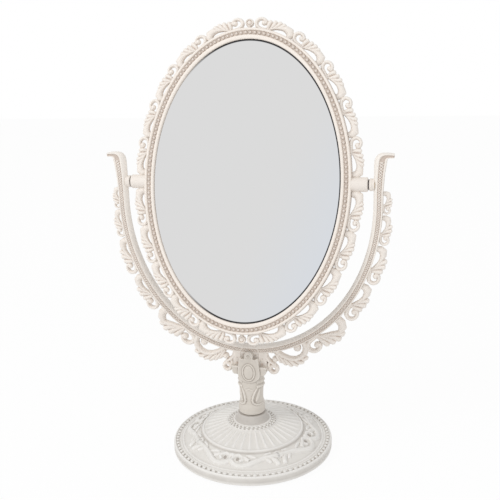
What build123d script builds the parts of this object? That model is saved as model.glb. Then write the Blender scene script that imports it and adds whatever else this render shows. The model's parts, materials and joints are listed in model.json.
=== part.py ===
"""A tilting oval vanity mirror on a round weighted foot, in millimetres.

+Z is up and the mirror faces -Y. The origin is on the foot's axis, on the table.
Mirror pieces are drawn upright about the pivot line and then leaned back together.
The foot, pillar, ovals and scrolls are many-sided, because the openwork has thirty units.
"""
from build123d import *
from math import atan2, cos, degrees, hypot, pi, radians, sin
import os

# How finely round forms are drawn
foot_sides = 60
oval_sides = 48
shaft_sides = 32
bush_sides = 16
scroll_sides = 12
eye_sides = 8
nut_sides = 6

# How far joined forms run into each other
piece_overlap = 1.0

# Foot
foot_radius = 60.0
foot_rim_height = 8.2
foot_wall = 2.4
bolt_seat_thickness = 2.4
foot_rim_width = 6.8
vine_band_width = 14.8
vine_band_inner_height = 14.2
dome_edge_height = 16.0
dome_top_radius = 12.6
dome_top_height = 22.6
collar_top_height = 28.3
collar_top_radius = 10.2

# Underside of the foot
ground_gap = 1.2
plate_thickness = 2.0
plate_clearance = 0.3
pad_radius = 6.0
pad_circle_inset = 16.0
pad_count = 4
pad_sides = 16
weight_inset = 17.0
weight_sides = 12
weight_hole_radius = 14.0
weight_thickness = 4.6
weight_clearance = 0.8
plate_screw_inset = 10.0
plate_screw_count = 3
plate_screw_radius = 1.45
plate_screw_head_radius = 2.8
plate_screw_head_height = 1.1
plate_screw_length = 5.2

# Pillar
stem_seam = 0.8
stem_seam_radius = 8.4
stem_foot_radius = 9.8
stem_foot_top = 40.0
stem_waist_radius = 8.9
capital_bottom = 60.5
capital_top = 68.0
capital_half_width = 12.4
capital_half_depth = 7.6
capital_slope = 8.0
crest_back_gap = 0.4
crest_thickness = 3.4
crest_half_width = 6.6
crest_shoulder_height = 74.2
crest_lobe_radius = 3.0
crest_top = 79.6
cartouche_bottom = 55.0
cabochon_half_width = 4.4
cabochon_half_height = 6.4
cabochon_height = 63.4
cabochon_relief = 0.9
tongue_half_width = 7.0
tongue_root = 4.0
tongue_half_depth = 3.6
tongue_bottom = 52.0
socket_clearance = 0.15

# Tie bolt through foot and pillar into the fork
bolt_radius = 2.0
bolt_hole_clearance = 0.3
bolt_head_radius = 4.6
bolt_head_height = 2.8
bolt_chamber_clearance = 1.2
bolt_recess_width = 0.9
bolt_recess_length = 4.2
bolt_recess_depth = 1.2
bolt_reach = 8.0
fork_nut_radius = 3.2
fork_nut_length = 9.5

# Fork
fork_bow_bottom = 84.0
fork_bow_thickness = 5.0
fork_arm_width = 6.4
fork_arc_drop = 14.4
fork_half_depth = 4.5
fork_leaf_half_depth = 3.2
fork_tip_overhang = 6.8
fork_tip_rise = 21.6
fork_tip_thickness = 3.4
fork_tip_flare = 6.4
fork_tip_corner = 1.8
fork_tip_edge_drop = 0.8
fork_lip_fall = 0.4
fork_tip_swelling = 2.4
fork_arm_narrow_drop = 4.4

# Pivots
barrel_radius = 4.95
barrel_length = 10.7
pivot_gap = 0.9
fork_boss_length = 2.9
fork_boss_radius = 4.3
pin_radius = 1.95
pin_running_fit = 0.05
pin_head_radius = 2.5
pin_head_height = 2.0
pin_head_inset = 0.7
pin_head_gap = 0.3
pin_thread_length = 6.0
driver_slot_width = 0.8
driver_slot_depth = 0.8
friction_washer_radius = 3.6
friction_washer_thickness = 0.5
bush_radius = 2.9
fork_insert_radius = 3.2

# Mirror head
tilt_at_rest = 12.5
glass_half_width = 68.9
glass_half_height = 99.9
glass_thickness = 1.8
magnifier_thickness = 1.4
magnifier_hollow = 2.27
cushion_width = 5.0
cushion_side_gap = 0.3
cushion_thickness = 1.4
glass_side_gap = 0.4
ring_width = 4.6
ring_half_depth = 3.0
bezel_side_overlap = 2.0
bezel_end_overlap = 1.6
head_swing_gap = 4.3
bezel_rise = 2.0
bezel_lip_width = 1.9
bezel_groove_depth = 1.0
head_leaf_half_depth = 2.3
head_leaf_height = 9.2
head_units_per_quarter = 5
head_scroll_radius = 4.1
head_feather_count = 4
head_first_unit = 3.2
head_unit_gap = 0.2
top_bead_radius = 2.9
top_bead_hole_radius = 1.5
top_bead_height = 4.4
top_bead_stalk_width = 2.4

# Shape of a leaf unit, as shares of its length and height
leaf_root_depth = 0.5
scroll_rim_turns = (215, 11)
scroll_hollow_turns = (150, 365)
scroll_ball_turns = (-20, -150)
last_feather_share = 0.72
leaf_end = ((0.86, 0.985), (0.95, 0.90), (0.99, 0.50), (0.965, 0.05))
leaf_foot_share = 0.975
window_end_share = 0.89
window_arch = ((1.00, 0.06), (0.76, 0.31), (0.38, 0.20))

# Sizes that follow from the ones above
plate_top = ground_gap + plate_thickness
plate_radius = foot_radius - foot_wall - plate_clearance
vine_band_outer_radius = foot_radius - foot_rim_width
vine_band_inner_radius = vine_band_outer_radius - vine_band_width
pad_circle_radius = foot_radius - pad_circle_inset
weight_radius = foot_radius - weight_inset
plate_screw_circle_radius = foot_radius - plate_screw_inset
bolt_ceiling = collar_top_height - bolt_seat_thickness
bolt_hole_radius = bolt_radius + bolt_hole_clearance
bolt_bottom = bolt_ceiling - bolt_head_height
ring_inner_half_width = glass_half_width + glass_side_gap
ring_inner_half_height = glass_half_height + glass_side_gap
bezel_inner_half_width = glass_half_width - bezel_side_overlap
bezel_inner_half_height = glass_half_height - bezel_end_overlap
bezel_outer_half_width = ring_inner_half_width + ring_width
bezel_outer_half_height = ring_inner_half_height + ring_width
magnifier_curve_radius = glass_half_height**2 / (2 * magnifier_hollow)
barrel_end = bezel_outer_half_width + barrel_length
boss_start = barrel_end + pivot_gap
pin_head_start = ring_inner_half_width + pin_head_inset
pocket_end = pin_head_start + pin_head_height + pin_head_gap
pivot_height = fork_bow_bottom + head_swing_gap + head_leaf_height + bezel_outer_half_height
fork_arc_height = pivot_height - fork_arc_drop
fork_inner_half_width = boss_start + fork_boss_length
fork_inner_depth = fork_arc_height - fork_bow_bottom
fork_outer_half_width = fork_inner_half_width + fork_arm_width
fork_outer_depth = fork_inner_depth + fork_bow_thickness
fork_tip_reach = fork_outer_half_width + fork_tip_overhang
fork_tip_top = pivot_height + fork_tip_rise
fork_arm_top = fork_tip_top - fork_tip_flare
fork_tip_width = fork_outer_half_width + fork_tip_swelling
fork_arm_narrow_height = pivot_height - fork_arm_narrow_drop


class OvalEdge:
    """The edge of an upright oval, walked by its length from its lowest or highest point."""

    steps = 1200

    def __init__(self, half_width, half_height, centre_height, upwards):
        self.half_width = half_width
        self.half_height = half_height
        self.centre_height = centre_height
        self.upwards = upwards
        self.lengths = [0.0]
        for step in range(self.steps):
            here = self.on_oval(step * pi / 2 / self.steps)
            there = self.on_oval((step + 1) * pi / 2 / self.steps)
            self.lengths.append(self.lengths[-1] + hypot(there[0] - here[0], there[1] - here[1]))

    @property
    def quarter(self):
        """The length of a quarter of the oval."""
        return self.lengths[-1]

    def on_oval(self, angle):
        """The point at this angle from the walk's start."""
        return self.half_width * sin(angle), self.half_height * cos(angle)

    def angle_at(self, length):
        """The angle at which the walk has this length, within one quarter."""
        low, high = 0, self.steps
        while high - low > 1:
            middle = (low + high) // 2
            if self.lengths[middle] > length:
                high = middle
            else:
                low = middle
        share = (length - self.lengths[low]) / (self.lengths[high] - self.lengths[low])
        return (low + share) * pi / 2 / self.steps

    def at(self, length, out):
        """The point this far along the edge and this far out from it, as X and Z."""
        straight = max(0.0, length - self.quarter)
        angle = self.angle_at(min(length, self.quarter))
        x, z = self.on_oval(angle)
        slope_x, slope_z = sin(angle) / self.half_width, cos(angle) / self.half_height
        size = hypot(slope_x, slope_z)
        z = z + out * slope_z / size - straight
        return x + out * slope_x / size, self.centre_height + self.upwards * z


def inside(corners):
    """The flat face inside a closed run of corners."""
    return make_face(Polyline(*corners, close=True))


def many_sided(point, half_width, half_height, sides):
    """A flat many-sided oval about a point of the drawing plane."""
    turns = [2 * pi * number / sides for number in range(sides)]
    return inside([(point[0] + half_width * sin(turn), point[1] + half_height * cos(turn)) for turn in turns])


def oval(half_width, half_height):
    """A flat oval, wide in X and tall in Y of the drawing plane."""
    return many_sided((0, 0), half_width, half_height, oval_sides)


def disc(point, radius, sides=scroll_sides):
    """A flat many-sided disc at a point of the drawing plane."""
    return many_sided(point, radius, radius, sides)


def bar(start, end, width):
    """A square-ended bar between two points of the drawing plane."""
    turn = degrees(atan2(end[1] - start[1], end[0] - start[0]))
    middle = Pos((start[0] + end[0]) / 2, (start[1] + end[1]) / 2)
    return middle * Rot(0, 0, turn) * Rectangle(hypot(end[0] - start[0], end[1] - start[1]), width)


def grown(half_sizes, extra):
    """An oval's half width and half height, both this much larger."""
    return half_sizes[0] + extra, half_sizes[1] + extra


def both_sides(face):
    """A face and its mirror image across the object's middle."""
    return [face, face.mirror(Plane.YZ)]


def all_quarters(face):
    """A face and its images across both of the mirror's middle lines."""
    halves = both_sides(face)
    return halves + [half.mirror(Plane.XZ) for half in halves]


def upright(face, half_depth):
    """Stands a drawing on its foot, facing -Y, as a plate with its middle at Y 0."""
    return extrude(Rot(90, 0, 0) * face, half_depth, both=True)


def at_pivot(piece):
    """Lifts a piece drawn about the origin to the pivot line."""
    return Pos(0, 0, pivot_height) * piece


def leaned_back(piece):
    """Hangs an upright piece of the mirror head on the pivot line at its resting tilt."""
    return at_pivot(Rot(-tilt_at_rest, 0, 0) * piece)


def along_x(radius, start, end, side):
    """A round bar about the X axis between two distances from the middle."""
    rod = Rot(0, 90, 0) * Cylinder(radius, end - start, align=(Align.CENTER, Align.CENTER, Align.MIN))
    rod = Pos(start, 0, 0) * rod
    return rod if side > 0 else rod.mirror(Plane.YZ)


def faceted_along_x(radius, start, end, side, sides):
    """A many-sided bar about the X axis between two distances from the middle."""
    plan = Plane.YZ * disc((0, 0), radius, sides)
    return Pos(side * start, 0, 0) * extrude(plan, side * (end - start))


def standing(plan, bottom, top):
    """A plan drawn from above, raised between two heights."""
    return Pos(0, 0, bottom) * extrude(plan, top - bottom)


def peg(radius, bottom, top, sides=scroll_sides):
    """A many-sided bar about the Z axis between two heights."""
    return standing(disc((0, 0), radius, sides), bottom, top)


def faceted_turning(outline, sides):
    """A solid with a many-sided plan whose radius and height follow an outline from bottom to top."""
    turns = [2 * pi * number / sides for number in range(sides)]
    circle = [(sin(turn), cos(turn)) for turn in turns]
    rings = [[(radius * x, radius * y, height) for x, y in circle] for radius, height in outline]
    faces = [Face(Wire.make_polygon(ring)) for ring in (rings[0], rings[-1])]
    for lower, upper in zip(rings, rings[1:]):
        for number in range(sides):
            corners = [lower[number - 1], lower[number], upper[number], upper[number - 1]]
            faces.append(Face(Wire.make_polygon(corners)))
    return Solid(Shell(faces)).clean()


def around(piece, count, first_turn):
    """Copies of a piece, evenly spaced about the Z axis."""
    return [Rot(0, 0, first_turn + 360 / count * number) * piece for number in range(count)]


def arc_points(centre, radius, start_turn, end_turn, count):
    """Points evenly spaced on part of a circle, turns in degrees from the forward direction."""
    turns = [radians(start_turn + (end_turn - start_turn) * number / (count - 1)) for number in range(count)]
    return [(centre[0] + radius * cos(turn), centre[1] + radius * sin(turn)) for turn in turns]


def leaf_unit(edge, start, length, height, scroll_radius, feather_count):
    """The face of one scroll with its feathers and smooth leaf, rooted on an oval edge.

    Points are pairs of the distance along the edge and the height above it.
    """
    scroll_height = height - scroll_radius
    scroll_rim = arc_points((scroll_radius * 1.10, scroll_height), scroll_radius, *scroll_rim_turns, 6)

    first_tip = scroll_radius * 2.35
    tip_step = (length * last_feather_share - first_tip) / (feather_count - 1)
    feathers = [(scroll_radius * 2.20, height * 0.52)]
    for number in range(feather_count):
        tip = first_tip + number * tip_step
        feathers.append((tip, height * 0.98))
        feathers.append((tip + tip_step * 0.42, height * 0.80))

    leaf = [(length * along, height * out) for along, out in leaf_end]
    leaf.append((length * leaf_foot_share, -leaf_root_depth))

    window_start = scroll_radius * 2.15
    window_span = length * window_end_share - window_start
    window = [(window_start + window_span, -leaf_root_depth)]
    window += [(window_start + window_span * along, height * out) for along, out in window_arch]
    window.append((window_start, -leaf_root_depth))

    outline = [(scroll_radius * 0.35, -leaf_root_depth), *scroll_rim, *feathers, *leaf, *window]
    hollow = (scroll_radius * 1.20, scroll_height - scroll_radius * 0.12)
    ball = (scroll_radius * 1.18, scroll_height + scroll_radius * 0.28)
    crescent = arc_points(hollow, scroll_radius * 0.66, *scroll_hollow_turns, 5)
    crescent += arc_points(ball, scroll_radius * 0.52, *scroll_ball_turns, 3)
    faces = [inside([edge.at(start + along, out) for along, out in ring]) for ring in (outline, crescent)]
    return faces[0] - faces[1]


def make_foot_shell():
    """The turned foot: rim, vine band, dome and collar, with the room for plate, weight and bolt."""
    chamber_radius = bolt_head_radius + bolt_chamber_clearance
    weight_room_radius = weight_radius + weight_clearance
    weight_room_top = plate_top + weight_thickness + weight_clearance
    outline = (
        (foot_radius, ground_gap),
        (foot_radius, foot_rim_height),
        (vine_band_outer_radius, foot_rim_height),
        (vine_band_inner_radius, vine_band_inner_height),
        (vine_band_inner_radius, dome_edge_height),
        (dome_top_radius, dome_top_height),
        (collar_top_radius, collar_top_height),
    )
    shell = faceted_turning(outline, foot_sides)
    shell = shell - peg(foot_radius - foot_wall, ground_gap, plate_top, foot_sides)
    shell = shell - peg(weight_room_radius, plate_top, weight_room_top, foot_sides)
    shell = shell - peg(chamber_radius, weight_room_top, bolt_ceiling)
    shell = shell - peg(bolt_hole_radius, bolt_ceiling, collar_top_height)
    hole = peg(plate_screw_radius, plate_top, ground_gap + plate_screw_length)
    holes = around(Pos(plate_screw_circle_radius, 0, 0) * hole, plate_screw_count, 90)
    return shell - holes


def make_bottom_plate():
    """The flat cover under the foot with its sunk screw holes."""
    seat = ground_gap + plate_screw_head_height
    hole = peg(plate_screw_radius, seat, plate_top) + peg(plate_screw_head_radius, ground_gap, seat)
    holes = around(Pos(plate_screw_circle_radius, 0, 0) * hole, plate_screw_count, 90)
    return peg(plate_radius, ground_gap, plate_top, foot_sides) - holes


def make_plate_screws():
    """The screws that hold the bottom plate to the foot."""
    seat = ground_gap + plate_screw_head_height
    screw = peg(plate_screw_radius, seat, ground_gap + plate_screw_length)
    screw = screw + peg(plate_screw_head_radius, ground_gap, seat)
    return around(Pos(plate_screw_circle_radius, 0, 0) * screw, plate_screw_count, 90)


def make_foot_pads():
    """The rubber pads that the mirror rests on."""
    return around(Pos(pad_circle_radius, 0, 0) * peg(pad_radius, 0, ground_gap, pad_sides), pad_count, 45)


def make_weight():
    """The many-sided iron plate that keeps the tall mirror standing."""
    plan = RegularPolygon(weight_radius, weight_sides) - RegularPolygon(weight_hole_radius, weight_sides)
    return standing(plan, plate_top, plate_top + weight_thickness)


def crest_outline():
    """The drawing of the cartouche plate: shield below, two shoulders and a round lobe on top."""
    lobe_centre = (0, crest_top - crest_lobe_radius)
    shield = many_sided(
        (0, cabochon_height), crest_half_width, cabochon_height - cartouche_bottom, scroll_sides
    )
    shoulder_height = crest_shoulder_height - cabochon_height
    shoulders = Rectangle(2 * crest_half_width, shoulder_height, align=(Align.CENTER, Align.MIN))
    shoulders = Pos(0, cabochon_height) * shoulders
    neck = bar((0, cabochon_height), lobe_centre, 2 * crest_lobe_radius)
    return shield + shoulders + neck + disc(lobe_centre, crest_lobe_radius)


def make_stem():
    """The pillar with its capital, the cartouches front and back, and the fork's socket."""
    seam_top = collar_top_height + stem_seam
    shaft = peg(stem_seam_radius, collar_top_height, seam_top, shaft_sides)
    shaft = shaft + peg(stem_foot_radius, seam_top, stem_foot_top, shaft_sides)
    shaft = shaft + peg(stem_waist_radius, stem_foot_top, capital_bottom, shaft_sides)
    shaft = shaft - peg(bolt_hole_radius, collar_top_height, tongue_bottom)
    capital_plan = Rectangle(2 * capital_half_width, 2 * capital_half_depth)
    capital = extrude(capital_plan, capital_bottom - capital_top, taper=capital_slope)
    socket_half_depth = fork_half_depth + crest_back_gap
    panel = extrude(Rot(90, 0, 0) * crest_outline(), crest_thickness)
    gem_plan = many_sided((0, cabochon_height), cabochon_half_width, cabochon_half_height, scroll_sides)
    gem = extrude(Rot(90, 0, 0) * gem_plan, crest_thickness + cabochon_relief)
    front = Pos(0, -socket_half_depth, 0) * (panel + gem)
    socket_width = 2 * (tongue_half_width + socket_clearance)
    upper_socket = standing(Rectangle(socket_width, 2 * socket_half_depth), capital_top, crest_top)
    lower_plan = Rectangle(socket_width, 2 * (tongue_half_depth + socket_clearance))
    stem = shaft + Pos(0, 0, capital_top) * capital + front + front.mirror(Plane.XZ)
    return stem - upper_socket - standing(lower_plan, tongue_bottom, capital_top)


def make_tie_bolt():
    """The long flanged bolt from under the foot up into the fork's nut."""
    head = peg(bolt_head_radius, bolt_bottom, bolt_ceiling)
    one_way = Rectangle(bolt_recess_length, bolt_recess_width)
    cross = one_way + Rot(0, 0, 90) * one_way
    recess = standing(cross, bolt_bottom, bolt_bottom + bolt_recess_depth)
    return head + peg(bolt_radius, bolt_ceiling, tongue_bottom + bolt_reach) - recess


def make_fork_nut():
    """The hexagonal brass insert in the fork's tongue that the tie bolt pulls on."""
    nut_top = tongue_bottom + fork_nut_length
    return peg(fork_nut_radius, tongue_bottom, nut_top, nut_sides) - peg(bolt_radius, tongue_bottom, nut_top)


# Each fork unit: start along the outer edge from the bottom, length, height and scroll radius
fork_units = (
    (42.6, 33.2, 12.4, 6.0),
    (78.2, 27.4, 9.2, 5.1),
    (107.6, 27.4, 8.6, 4.6),
    (135.6, 20.2, 6.9, 3.4),
    (156.3, 15.4, 5.6, 2.4),
)
fork_feather_counts = (4, 3, 3, 2, 2)

# The big scroll beside the pillar with its blunt feathers, as X and Z
big_scroll_outline = (
    (15.0, 82.0),
    (19.6, 73.4),
    (24.0, 69.8),
    (26.4, 71.0),
    (27.6, 67.6),
    (30.0, 69.0),
    (32.4, 66.8),
    (33.9, 69.0),
    (36.8, 68.2),
    (37.6, 71.0),
    (40.6, 71.6),
    (40.4, 74.6),
    (43.6, 76.4),
    (42.8, 79.0),
    (44.4, 82.0),
    (43.6, 88.0),
    (37.0, 90.2),
)
big_scroll_window = (
    (22.0, 79.4),
    (26.0, 76.3),
    (31.0, 74.6),
    (35.6, 75.6),
    (38.6, 79.2),
    (39.2, 82.6),
    (37.4, 84.6),
    (31.0, 82.6),
)
big_scroll_ball = (34.4, 81.6)
big_scroll_ball_radius = 3.0

# The two small scrolls beside the capital, as X and Z
upper_curl_centre = (15.9, 73.4)
upper_curl_radius = 6.2
upper_curl_hole = 2.6
upper_curl_ball = (19.2, 71.8)
upper_curl_ball_radius = 2.6
lower_curl_centre = (18.0, 64.0)
lower_curl_radius = 4.6
lower_curl_hole = 1.5
curl_link_top = (16.1, 68.6)
curl_link_bottom = (17.4, 67.0)
curl_link_width = 5.4


def side_scrolls():
    """The face of the big scroll and the two small ones, to the right of the pillar."""
    big = inside(big_scroll_outline) - inside(big_scroll_window)
    big = big + disc(big_scroll_ball, big_scroll_ball_radius)
    upper = disc(upper_curl_centre, upper_curl_radius) - disc(upper_curl_centre, upper_curl_hole, eye_sides)
    lower = disc(lower_curl_centre, lower_curl_radius) - disc(lower_curl_centre, lower_curl_hole, eye_sides)
    link = bar(curl_link_top, curl_link_bottom, curl_link_width)
    return [big, upper, lower, link, disc(upper_curl_ball, upper_curl_ball_radius, eye_sides)]


def fork_arm():
    """The face of the right arm with its outward-curled tip."""
    lip_bottom = fork_tip_top - fork_tip_thickness
    return inside(
        [
            (fork_inner_half_width, fork_arc_height),
            (fork_inner_half_width, fork_arm_top),
            (fork_inner_half_width + fork_tip_corner, fork_tip_top - fork_tip_corner),
            (fork_inner_half_width + fork_tip_flare, fork_tip_top),
            (fork_tip_reach, fork_tip_top - fork_tip_edge_drop),
            (fork_tip_reach, lip_bottom),
            (fork_tip_width, lip_bottom - fork_lip_fall),
            (fork_outer_half_width + fork_tip_edge_drop, (lip_bottom + fork_arm_narrow_height) / 2),
            (fork_outer_half_width, fork_arm_narrow_height),
            (fork_outer_half_width, fork_arc_height),
        ]
    )


def fork_bow():
    """The faces of the plain bow, its two arms and the shoulder over the pillar."""
    whole = Pos(0, fork_arc_height) * oval(fork_outer_half_width, fork_outer_depth)
    hollow = Pos(0, fork_arc_height) * oval(fork_inner_half_width, fork_inner_depth)
    upper_half = Rectangle(3 * fork_outer_half_width, fork_outer_depth, align=(Align.CENTER, Align.MIN))
    bow = whole - hollow - Pos(0, fork_arc_height) * upper_half
    shoulder_top = (0, fork_arc_height - fork_inner_depth - piece_overlap)
    shoulder = bar((0, capital_top), shoulder_top, 2 * (tongue_half_width - socket_clearance))
    return [bow, *both_sides(fork_arm()), shoulder]


def make_fork():
    """The openwork fork: bow, leaf units, scrolls, pivot bosses and the tongue for the pillar."""
    edge = OvalEdge(fork_outer_half_width, fork_outer_depth, fork_arc_height, -1)
    right = side_scrolls()
    for unit, feather_count in zip(fork_units, fork_feather_counts):
        right.append(leaf_unit(edge, *unit, feather_count))
    leaves = both_sides(Sketch() + right)
    fork = upright(Sketch() + fork_bow(), fork_half_depth)
    fork = fork + upright(Sketch() + leaves, fork_leaf_half_depth)
    tongue_plan = Rectangle(2 * tongue_half_width, 2 * tongue_half_depth)
    fork = fork + standing(tongue_plan, tongue_bottom, capital_top + tongue_root)
    for side in (1, -1):
        boss_root = fork_inner_half_width + piece_overlap
        socket_end = boss_start + pin_thread_length
        fork = fork + at_pivot(along_x(fork_boss_radius, boss_start, boss_root, side))
        fork = fork - at_pivot(faceted_along_x(fork_insert_radius, boss_start, socket_end, side, nut_sides))
    return fork - peg(fork_nut_radius, tongue_bottom, tongue_bottom + fork_nut_length, nut_sides)


def make_pivot_screw(side):
    """A screw from inside the head through its barrel into the fork."""
    head_end = pin_head_start + pin_head_height
    head = faceted_along_x(pin_head_radius, pin_head_start, head_end, side, scroll_sides)
    shank = along_x(pin_radius, head_end, boss_start + pin_thread_length, side)
    driver = Box(2 * driver_slot_depth, driver_slot_width, 3 * pin_head_radius)
    return at_pivot(head + shank - Pos(side * pin_head_start, 0, 0) * driver)


def make_friction_washer(side):
    """The dark washer in the gap between the barrel and the fork's boss, which stiffens the tilt."""
    start = boss_start - friction_washer_thickness
    hole_radius = pin_radius / cos(pi / bush_sides)
    washer = faceted_along_x(friction_washer_radius, start, boss_start, side, bush_sides)
    return at_pivot(washer - faceted_along_x(hole_radius, start, boss_start, side, bush_sides))


def make_fork_insert(side):
    """The hexagonal threaded insert in the fork's boss that takes the pivot screw."""
    end = boss_start + pin_thread_length
    body = faceted_along_x(fork_insert_radius, boss_start, end, side, nut_sides)
    return at_pivot(body - along_x(pin_radius, boss_start, end, side))


def make_bush(side):
    """The plain bush in the barrel that turns on the pivot screw."""
    bush = faceted_along_x(bush_radius, pocket_end, barrel_end, side, bush_sides)
    return leaned_back(bush - along_x(pin_radius + pin_running_fit, pocket_end, barrel_end, side))


def make_head_ring():
    """The openwork ring round the glass with its two pivot barrels."""
    outer = (bezel_outer_half_width, bezel_outer_half_height)
    edge = OvalEdge(*outer, 0, 1)
    pitch = (edge.quarter - barrel_radius - head_first_unit) / head_units_per_quarter
    quarter = []
    for number in range(head_units_per_quarter):
        start = head_first_unit + number * pitch
        unit = (start, pitch - head_unit_gap, head_leaf_height, head_scroll_radius, head_feather_count)
        quarter.append(leaf_unit(edge, *unit))
    bead_centre = (0, bezel_outer_half_height + top_bead_height)
    stalk = bar((0, ring_inner_half_height), bead_centre, top_bead_stalk_width)
    bead = disc(bead_centre, top_bead_radius) + stalk - disc(bead_centre, top_bead_hole_radius, eye_sides)
    root_ends = (ring_inner_half_width + piece_overlap, 0), (bezel_outer_half_width + piece_overlap, 0)
    root = bar(*root_ends, 2 * barrel_radius)
    leaves = all_quarters(Sketch() + quarter) + [bead, bead.mirror(Plane.XZ), *both_sides(root)]
    hollow = oval(ring_inner_half_width, ring_inner_half_height)
    head = upright(oval(*outer), ring_half_depth) + upright(Sketch() + leaves, head_leaf_half_depth)
    for side in (1, -1):
        head = head + along_x(barrel_radius, bezel_outer_half_width, barrel_end, side)
    head = head - upright(hollow, 2 * ring_half_depth)
    for side in (1, -1):
        bore_start = ring_inner_half_width - piece_overlap
        head = head - faceted_along_x(bush_radius, bore_start, barrel_end, side, bush_sides)
    return leaned_back(head)


def make_bezel(side):
    """One of the two rings that hold the glass, with its bead groove; side is 1 for the front."""
    outer = (bezel_outer_half_width, bezel_outer_half_height)
    inner = (bezel_inner_half_width, bezel_inner_half_height)
    groove = oval(*grown(outer, -bezel_lip_width)) - oval(*grown(inner, bezel_lip_width))
    ring = extrude(oval(*outer) - oval(*inner), bezel_rise)
    ring = ring - Pos(0, 0, bezel_rise - bezel_groove_depth) * extrude(groove, bezel_groove_depth)
    ring = Pos(0, -ring_half_depth, 0) * Rot(90, 0, 0) * ring
    return leaned_back(ring if side > 0 else ring.mirror(Plane.XZ))


def magnifier_ball(extra):
    """The ball whose surface the magnifying glass follows, this much outside its front."""
    centre = ring_half_depth - magnifier_hollow + magnifier_curve_radius
    return Pos(0, centre, 0) * Sphere(magnifier_curve_radius + extra)


def make_front_glass():
    """The flat mirror glass."""
    sheet = extrude(oval(glass_half_width, glass_half_height), glass_thickness)
    return leaned_back(Pos(0, glass_thickness - ring_half_depth, 0) * Rot(90, 0, 0) * sheet)


def make_rear_glass():
    """The gently hollow mirror glass on the back."""
    blank = upright(oval(glass_half_width, glass_half_height), 2 * ring_half_depth)
    return leaned_back(blank & (magnifier_ball(magnifier_thickness) - magnifier_ball(0)))


def make_cushion():
    """The foam ring that keeps the two glasses apart."""
    rim = grown((glass_half_width, glass_half_height), -cushion_side_gap)
    ring = extrude(oval(*rim) - oval(*grown(rim, -cushion_width)), cushion_thickness)
    cushion_front = glass_thickness + cushion_thickness - ring_half_depth
    return leaned_back(Pos(0, cushion_front, 0) * Rot(90, 0, 0) * ring)


pieces = {
    "foot_shell": make_foot_shell(),
    "bottom_plate": make_bottom_plate(),
    "plate_screws": Compound(children=make_plate_screws()),
    "foot_pads": Compound(children=make_foot_pads()),
    "foot_weight": make_weight(),
    "stem": make_stem(),
    "tie_bolt": make_tie_bolt(),
    "fork_nut": make_fork_nut(),
    "fork": make_fork(),
    "mirror_frame": make_head_ring(),
    "front_bezel": make_bezel(1),
    "rear_bezel": make_bezel(-1),
    "front_glass": make_front_glass(),
    "rear_glass": make_rear_glass(),
    "glass_cushion": make_cushion(),
}
for side, name in ((1, "right"), (-1, "left")):
    pieces["pivot_screw_" + name] = make_pivot_screw(side)
    pieces["friction_washer_" + name] = make_friction_washer(side)
    pieces["fork_insert_" + name] = make_fork_insert(side)
    pieces["pivot_bush_" + name] = make_bush(side)

os.makedirs("parts", exist_ok=True)
for name, piece in pieces.items():
    export_step(piece, "parts/" + name + ".step")
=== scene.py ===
"""Dresses the vanity mirror: carved openwork, beads, rope band, pillar, foot, light and camera."""
import json
from math import atan2, cos, pi, radians, sin

import bmesh
import bpy
import numpy as np
from mathutils import Matrix, Vector

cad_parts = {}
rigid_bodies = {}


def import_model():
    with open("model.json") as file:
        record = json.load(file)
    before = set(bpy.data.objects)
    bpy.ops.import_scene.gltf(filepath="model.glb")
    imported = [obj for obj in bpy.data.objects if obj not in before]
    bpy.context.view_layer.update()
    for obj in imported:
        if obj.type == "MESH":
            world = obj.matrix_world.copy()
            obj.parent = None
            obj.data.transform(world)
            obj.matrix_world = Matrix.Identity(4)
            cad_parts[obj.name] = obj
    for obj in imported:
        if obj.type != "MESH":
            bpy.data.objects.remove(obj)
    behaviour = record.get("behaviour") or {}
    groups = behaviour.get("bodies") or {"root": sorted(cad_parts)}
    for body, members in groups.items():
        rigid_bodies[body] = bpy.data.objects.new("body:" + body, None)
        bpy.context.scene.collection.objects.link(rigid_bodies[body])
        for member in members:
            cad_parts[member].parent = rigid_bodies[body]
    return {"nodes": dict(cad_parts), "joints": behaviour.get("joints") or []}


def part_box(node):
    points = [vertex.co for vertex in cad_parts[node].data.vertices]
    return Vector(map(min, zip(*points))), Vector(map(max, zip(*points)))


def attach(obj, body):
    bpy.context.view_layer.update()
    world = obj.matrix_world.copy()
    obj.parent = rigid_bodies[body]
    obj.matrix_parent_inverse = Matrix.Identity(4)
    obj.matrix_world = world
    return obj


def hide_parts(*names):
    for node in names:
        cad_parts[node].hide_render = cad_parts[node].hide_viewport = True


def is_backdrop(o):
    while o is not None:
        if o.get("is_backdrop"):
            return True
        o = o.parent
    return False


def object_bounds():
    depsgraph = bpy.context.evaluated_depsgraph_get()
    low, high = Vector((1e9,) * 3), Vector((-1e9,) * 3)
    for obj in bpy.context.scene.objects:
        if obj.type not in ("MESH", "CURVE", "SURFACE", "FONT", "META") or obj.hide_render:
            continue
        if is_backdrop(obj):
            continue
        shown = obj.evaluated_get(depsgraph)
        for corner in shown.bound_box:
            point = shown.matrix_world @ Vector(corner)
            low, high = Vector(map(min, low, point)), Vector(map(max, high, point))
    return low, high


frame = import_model()
cad_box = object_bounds()

mm = 0.001

# Sizes read from the frame
pivot_height = frame["joints"][0]["pos_m"][2] / mm
bezel_half_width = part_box("front_bezel")[1][0] / mm
barrel_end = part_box("mirror_frame")[1][0] / mm

# Mirror head, in millimetres about the pivot line before it leans back; pairs are half width and half height
tilt_at_rest = radians(12.5)
bezel_half_height = 105.7
ring_half_depth = 3.0
bezel_opening = (66.7, 98.5)
ring_opening = (69.3, 100.3)
ring_bevel = (0.3, 0.4)
bead_line = (70.4, 102.9)
edge_shadow_line = (65.95, 97.6)
bead_radius = 1.12
groove_rise = 1.0
bead_count = 168
head_pitch_start = 3.2
head_units_per_quarter = 5
barrel_radius = 4.95
head_leaf_height = 8.7
lower_leaf_extra = 0.8
head_leaf_half_depth = 2.3
head_scroll = 4.5
head_scroll_lift = 0.96
head_root_share = 0.376
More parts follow.
